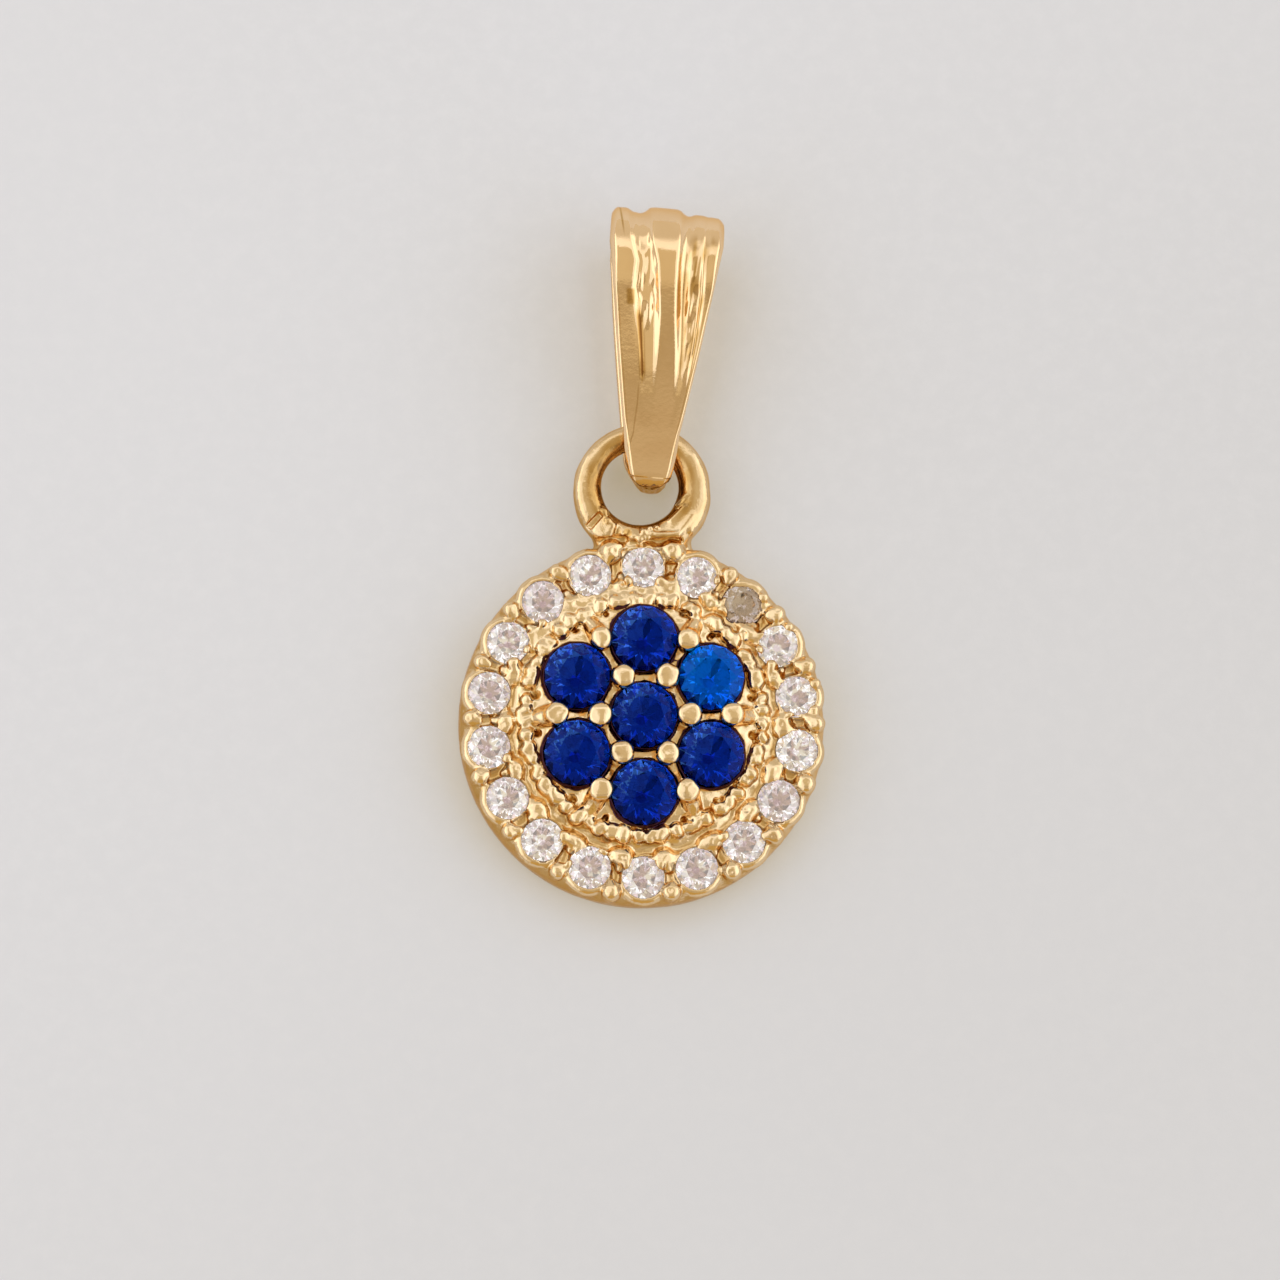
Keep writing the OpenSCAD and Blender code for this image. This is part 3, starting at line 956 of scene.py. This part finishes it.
def make_bail():
    steps, across = ((420, 161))
    t, z, out_t, out_z, strength = stations = bail_side_view(steps).T
    count = stations.shape[1]
    from_top = BAIL_L - t
    half_w = BAIL_W / 2 * np.interp(from_top, WIDTH_ALONG, WIDTH_SHARE) * (0.95 + 0.016 * z)
    # The end of the tip narrows towards the back
    half_w = half_w * (1 - 0.2 * ramp(from_top, 7.6, 8.5) * (1 - ramp(z, 0.7, 1.8)))
    # More points near the edges, for the bevel
    even = np.linspace(-1, 1, across)
    u = np.sign(even) * (1 - (1 - np.abs(even)) ** 1.25)
    u = np.broadcast_to(u, (count, across))
    depth = np.minimum(bail_depth(u, from_top, strength, half_w), BAIL_WALL - LEAST_WALL)
    inner_u = np.broadcast_to(np.linspace(1, -1, INNER_POINTS), (count, INNER_POINTS))
    shares = np.hstack([u, inner_u])
    depths = np.hstack([depth, np.full((count, INNER_POINTS), BAIL_WALL)])
    # The tip leans a little to the right
    low = 1 - ramp(z, 0.5, 2.0)
    lean = 0.06 * ramp(from_top, 6.8, 8.7) + 0.06 * ramp(from_top, 7.8, 8.7) * low
    x = shares * half_w[:, None] + (lean - 0.034 * z)[:, None]
    y = t[:, None] - depths * out_t[:, None]
    height = z[:, None] - depths * out_z[:, None]
    turn = math.radians(-BAIL_TURN)
    px = BAIL_X + x * math.cos(turn) - y * math.sin(turn)
    py = DISC_Y + BAIL_TIP_Y + x * math.sin(turn) + y * math.cos(turn)
    points = np.stack([px, py, np.maximum(height, 0)], 2).reshape(-1, 3) * MM
    size = across + INNER_POINTS
    i = np.arange(count)[:, None] * size
    j = np.arange(size)[None, :]
    following = (i + size) % (count * size)
    beside = (j + 1) % size
    faces = np.stack([i + j, i + beside, following + beside, following + j], 2).reshape(-1, 4)
    mesh = bpy.data.meshes.new("bail_polished")
    mesh.from_pydata(points.tolist(), [], faces.tolist())
    finish_mesh(mesh)
    inner_film = np.full((count, INNER_POINTS), INNER_FILM)
    set_hollows(mesh, np.hstack([bail_shade_and_marks(u, from_top, z, half_w), inner_film]).ravel())
    return link("bail_polished", mesh)


# ---------- materials


class Nodes:
    """Short calls for building a node tree."""

    def __init__(self, tree):
        self.tree = tree
        tree.nodes.clear()

    def new(self, kind, inputs=None, **settings):
        node = self.tree.nodes.new(kind)
        for key, value in settings.items():
            setattr(node, key, value)
        for key, value in (inputs or {}).items():
            if isinstance(value, bpy.types.NodeSocket):
                self.tree.links.new(value, node.inputs[key])
            else:
                node.inputs[key].default_value = value
        return node

    def math(self, operation, a, b=0.0):
        return self.new("ShaderNodeMath", {0: a, 1: b}, operation=operation).outputs[0]

    def mix(self, share, a, b):
        return self.new("ShaderNodeMix", {0: share, 6: a, 7: b}, data_type="RGBA").outputs[2]

    def place(self):
        """Places on the object, in metres."""
        return self.new("ShaderNodeTexCoord").outputs["Object"]

    def split(self, vector):
        return self.new("ShaderNodeSeparateXYZ", {0: vector}).outputs

    def noise(self, scale, detail, roughness, vector):
        inputs = {"Scale": scale, "Detail": detail, "Roughness": roughness, "Vector": vector}
        return self.new("ShaderNodeTexNoise", inputs).outputs[0]

    def steps(self, value, low, high, start=0.0, end=1.0):
        inputs = {0: value, 1: low, 2: high, 3: start, 4: end}
        return self.new("ShaderNodeMapRange", inputs, interpolation_type="SMOOTHSTEP").outputs[0]

    def bump(self, strength, distance, height):
        inputs = {"Strength": strength, "Distance": distance, "Height": height}
        return self.new("ShaderNodeBump", inputs).outputs[0]

    def finish(self, **inputs):
        """Ends a material in one shader. Inputs are named with _ for a space."""
        inputs = {key.replace("_", " "): value for key, value in inputs.items()}
        shader = self.new("ShaderNodeBsdfPrincipled", inputs)
        self.new("ShaderNodeOutputMaterial", {"Surface": shader.outputs[0]})


def rgba(r, g, b):
    return (r, g, b, 1.0)


def new_material(name):
    material = bpy.data.materials.new(name)
    material.use_nodes = True
    return material, Nodes(material.node_tree)


# The brown of painted shade on gold, also used for faint random patches
SHADE_AND_PATCH_BROWN = rgba(0.6, 0.36, 0.12)


def gold(name, roughness, bump, dull, bright, deepest_shade):
    """Polished yellow gold with a fine cast skin, painted shade in brown, darker still where it is
    deepest, and faint random brown patches.
    """
    material, n = new_material(name)
    place = n.place()
    broad = n.noise(900, 3, 0.5, place)
    fine = n.noise(7000, 4, 0.6, place)
    patches = n.noise(1500, 4, 0.6, place)
    # Painted shade in brown in the hollows, and faint random brown patches elsewhere
    attribute = {"attribute_name": "hollow", "attribute_type": "GEOMETRY"}
    hollow = n.new("ShaderNodeAttribute", **attribute).outputs["Fac"]
    shade_and_patches = n.math("MULTIPLY", hollow, n.steps(patches, 0.1, 0.55, 0.65, 1.0))
    shade_and_patches = n.math("ADD", shade_and_patches, n.steps(patches, 0.5, 0.8, 0.0, 0.12))
    colour = n.mix(n.steps(broad, 0.35, 0.65), dull, bright)
    colour = n.mix(n.steps(shade_and_patches, 0.05, 0.8), colour, SHADE_AND_PATCH_BROWN)
    # The deepest painted shade takes a darker colour still
    colour = n.mix(n.steps(shade_and_patches, 0.72, 1.05), colour, deepest_shade)
    n.finish(
        Base_Color=colour,
        Metallic=1.0,
        Roughness=n.math("ADD", n.math("MULTIPLY", fine, 0.1), roughness - 0.05),
        Specular_Tint=rgba(0.95, 0.75, 0.5),
        Normal=n.bump(bump, 0.00002, fine),
    )
    return material


def gem(name, table, crown, edge, sheen, ior, patch, spot=(0.5, 0.44), rough=0.03, glow=0.0):
    """A cut stone with painted light on the slanted facets that face the upper left, a table
    painted darker than its crown, painted dark reflections on its table, and small dark spots.
    """
    material, n = new_material(name)
    place = n.place()
    facing = n.split(n.new("ShaderNodeNewGeometry").outputs["Normal"])
    slanted = n.steps(n.math("ABSOLUTE", facing[2]), 0.97, 0.9)
    level = n.math("SUBTRACT", 1.0, slanted)
    # Painted light: slanted facets that face the upper left take the lighter edge colour
    lit = n.math("SUBTRACT", n.math("MULTIPLY", facing[1], 0.6), facing[0])
    lit = n.math("MULTIPLY", n.steps(lit, 0.1, 0.5), slanted)
    # Painted dark reflections in patches on the table
    dark_table_reflections = n.math("MULTIPLY", n.steps(n.noise(2500, 2, 0.5, place), *spot), level)
    flecks = n.math("MULTIPLY", n.steps(n.noise(7000, 2, 0.6, place), 0.42, 0.34), 0.6)
    # Painted shade: the table takes a darker colour than the crown
    colour = n.mix(slanted, table, crown)
    colour = n.mix(lit, colour, edge)
    colour = n.mix(n.math("MAXIMUM", dark_table_reflections, flecks), colour, patch)
    n.finish(
        Base_Color=colour,
        Roughness=n.math("MULTIPLY", n.noise(9000, 2, 0.5, place), rough),
        IOR=ior,
        Transmission_Weight=1.0,
        Specular_Tint=sheen,
        # The emission set by glow is painted light
        Emission_Color=rgba(0.94, 0.96, 1.0),
        Emission_Strength=glow,
    )
    return material


def floor_material():
    material, n = new_material("pale_surface")
    place = n.place()
    wide = n.noise(25, 3, 0.5, place)
    weave = n.noise(1600, 4, 0.7, place)
    colour = n.mix(n.steps(wide, 0.3, 0.7), rgba(0.482, 0.549, 0.735), rgba(0.496, 0.564, 0.753))
    colour = n.mix(n.steps(weave, 0.35, 0.75), colour, rgba(0.509, 0.575, 0.762))
    # Painted shade makes it a little darker towards the lower right, where the light falls off
    x, y, _ = n.split(place)
    light_falloff = n.steps(n.math("SUBTRACT", x, y), -0.025, 0.03, 0.0, 0.1)
    n.finish(
        Base_Color=n.mix(light_falloff, colour, rgba(0, 0, 0)),
        Roughness=0.75,
        Normal=n.bump(0.15, 0.00005, weave),
        Specular_IOR_Level=0.2,
        # A warm glow keeps the shade beside the part as pale as in the photo
        Emission_Color=rgba(0.24, 0.185, 0.08),
        Emission_Strength=1.0,
    )
    return material


# ---------- the room

# Directions are given by their parts along X, Y and Z. The dark shape overhead is a square
# with round corners, and the one on the near side runs down from it.
OVERHEAD_X = (-0.3, 0.4)
OVERHEAD_Y = (-0.33, 0.42)
OVERHEAD_CORNER = 6.0
OVERHEAD_COLOUR = rgba(0.7, 0.605, 0.42)
NEAR_X = (-0.42, 0.5)
NEAR_HIGH = rgba(0.46, 0.375, 0.235)
NEAR_MIDDLE = rgba(0.6, 0.505, 0.36)
NEAR_LOW = rgba(0.6, 0.42, 0.15)
LOW_WALL = rgba(0.6, 0.56, 0.5)
CEILING = rgba(1.16, 1.15, 1.12)
FAR_WALL = rgba(0.7, 0.645, 0.55)
WINDOW = rgba(1.55, 1.54, 1.5)
SOFT = 0.025


def make_world():
    """A bright room with darker shapes overhead and on the near side."""
    world = bpy.data.worlds.new("room")
    bpy.context.scene.world = world
    world.use_nodes = True
    n = Nodes(world.node_tree)
    x, y, z = n.split(n.new("ShaderNodeTexCoord").outputs["Generated"])

    def band(value, low, high, edge=SOFT):
        rise = n.steps(value, low - edge, low)
        return n.math("MULTIPLY", rise, n.steps(value, high + edge, high))

    # How bright the walls and the ceiling are, by height
    room = n.mix(n.steps(z, 0.0, 0.45), LOW_WALL, CEILING)
    # The far wall, past a bright strip along the ceiling's end
    room = n.mix(n.steps(y, 0.6, 0.78), room, FAR_WALL)
    # Windows on both sides
    aside = n.steps(n.math("ABSOLUTE", x), 0.6, 0.7)
    window = n.math("MULTIPLY", aside, band(z, 0.22, 0.66, 0.06))
    window = n.math("MULTIPLY", window, n.steps(y, -0.55, -0.35))
    room = n.mix(window, room, WINDOW)
    # The near side
    near_end = n.steps(y, OVERHEAD_Y[0] + 0.03, OVERHEAD_Y[0])
    colour = n.mix(n.steps(y, -0.46, -0.36), NEAR_MIDDLE, NEAR_HIGH)
    colour = n.mix(n.steps(y, -0.8, -0.7), NEAR_LOW, colour)
    room = n.mix(n.math("MULTIPLY", band(x, *NEAR_X), near_end), room, colour)
    # Overhead
    corners = []
    for value, (low, high) in ((x, OVERHEAD_X), (y, OVERHEAD_Y)):
        share = n.math("DIVIDE", n.math("SUBTRACT", value, (low + high) / 2), (high - low) / 2)
        corners.append(n.math("POWER", n.math("ABSOLUTE", share), OVERHEAD_CORNER))
    overhead = n.steps(n.math("ADD", *corners), 1.25, 0.9)
    overhead = n.math("MULTIPLY", overhead, n.steps(z, 0.0, 0.1))
    room = n.mix(overhead, room, OVERHEAD_COLOUR)
    background = n.new("ShaderNodeBackground", {"Color": room, "Strength": 1.0})
    n.new("ShaderNodeOutputWorld", {"Surface": background.outputs[0]})


CAMERA_AZIMUTH = -27.0
CAMERA_ELEVATION = 80.0
CAMERA_DISTANCE = 160.0
SENSOR = 36.0
# The photo's width in pixels, and its pixels to one mm
PHOTO_WIDTH, PHOTO_SCALE = 1280, 32.5
AIM = (0.0, -2.41, 0.0)


def make_camera():
    data = bpy.data.cameras.new("camera")
    data.sensor_width = SENSOR
    data.lens = SENSOR * CAMERA_DISTANCE / (PHOTO_WIDTH / PHOTO_SCALE)
    data.clip_start, data.clip_end = 0.01, 10.0
    found = link("camera", data)
    a, e = math.radians(CAMERA_AZIMUTH), math.radians(CAMERA_ELEVATION)
    back = Vector((math.sin(a) * math.cos(e), -math.cos(a) * math.cos(e), math.sin(e)))
    right = Vector((0, 1, 0)).cross(back).normalized()
    turn = Matrix((right, back.cross(right), back)).transposed()
    place = (Vector(AIM) + back * CAMERA_DISTANCE) * MM
    found.matrix_world = Matrix.Translation(place) @ turn.to_4x4()
    bpy.context.scene.camera = found


# Half the floor's width in metres, and how far it lies under the part in mm
FLOOR_HALF = 0.5
FLOOR_DROP = 0.02


def make_floor():
    r, mesh = FLOOR_HALF, bpy.data.meshes.new("surface")
    mesh.from_pydata([(-r, -r, 0), (r, -r, 0), (r, r, 0), (-r, r, 0)], [], [(0, 1, 2, 3)])
    found = link("surface", mesh)
    found.location.z = -FLOOR_DROP * MM
    mesh.materials.append(floor_material())


# ---------- putting it together

cast_gold = gold(
    "cast_gold",
    roughness=0.14,
    bump=0.5,
    dull=rgba(0.86, 0.65, 0.395),
    bright=rgba(0.92, 0.705, 0.44),
    # Near black for the deepest painted shade
    deepest_shade=rgba(0.045, 0.016, 0.03),
)
rolled_gold = gold(
    "polished_gold",
    roughness=0.09,
    bump=0.15,
    dull=rgba(0.93, 0.66, 0.38),
    bright=rgba(0.97, 0.705, 0.42),
    # Dark brown for the deepest painted shade
    deepest_shade=rgba(0.3, 0.13, 0.03),
)

setting_field = make_setting()
setting = field_mesh(setting_field, "setting_cast")
reduce_faces(setting, SETTING_TRIANGLES)
mark_hollows(setting_field, setting)
setting.data.materials.clear()
setting.data.materials.append(cast_gold)
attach(setting, "root")
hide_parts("setting")

bail = make_bail()
bail.data.materials.append(rolled_gold)
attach(bail, "root")
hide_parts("bail")

blue_gem = gem(
    "blue_stone_cut",
    table=rgba(0.001, 0.008, 0.3),
    crown=rgba(0.002, 0.035, 0.5),
    edge=rgba(0.04, 0.15, 0.75),
    sheen=rgba(0.01, 0.06, 0.6),
    ior=1.7,
    patch=rgba(0.001, 0.004, 0.16),
)
azure_gem = gem(
    "azure_stone_cut",
    table=rgba(0.001, 0.08, 1.0),
    crown=rgba(0.001, 0.13, 1.0),
    edge=rgba(0.002, 0.18, 1.0),
    sheen=rgba(0.005, 0.2, 1.0),
    ior=1.7,
    patch=rgba(0.001, 0.05, 0.55),
)
clear_gem = gem(
    "clear_stone_cut",
    table=rgba(1.0, 0.98, 1.0),
    crown=rgba(1.0, 0.99, 1.0),
    edge=rgba(1.0, 1.0, 1.0),
    sheen=rgba(1, 1, 1),
    ior=2.6,
    patch=rgba(0.3, 0.17, 0.19),
    spot=(0.6, 0.52),
    # Painted light: a faint glow brightens the clear stones
    glow=0.055,
)
smoky_gem = gem(
    "smoky_stone_cut",
    table=rgba(0.5, 0.4, 0.36),
    crown=rgba(0.6, 0.48, 0.44),
    edge=rgba(0.9, 0.82, 0.78),
    sheen=rgba(1, 1, 1),
    ior=1.9,
    patch=rgba(0.36, 0.28, 0.25),
    rough=0.1,
)
for name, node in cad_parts.items():
    if name == f"blue_stone_{AZURE_STONE}":
        material, slot = azure_gem, "azure_gem"
    elif name.startswith("blue_stone"):
        material, slot = blue_gem, "blue_gem"
    elif name == f"clear_stone_{SMOKY_STONE}":
        material, slot = smoky_gem, "smoky_gem"
    elif name.startswith("clear_stone"):
        material, slot = clear_gem, "clear_gem"
    else:
        continue
    node.data.materials.clear()
    node.data.materials.append(material)

make_floor()
make_world()
make_camera()
bpy.context.scene.view_settings.view_transform = "Standard"
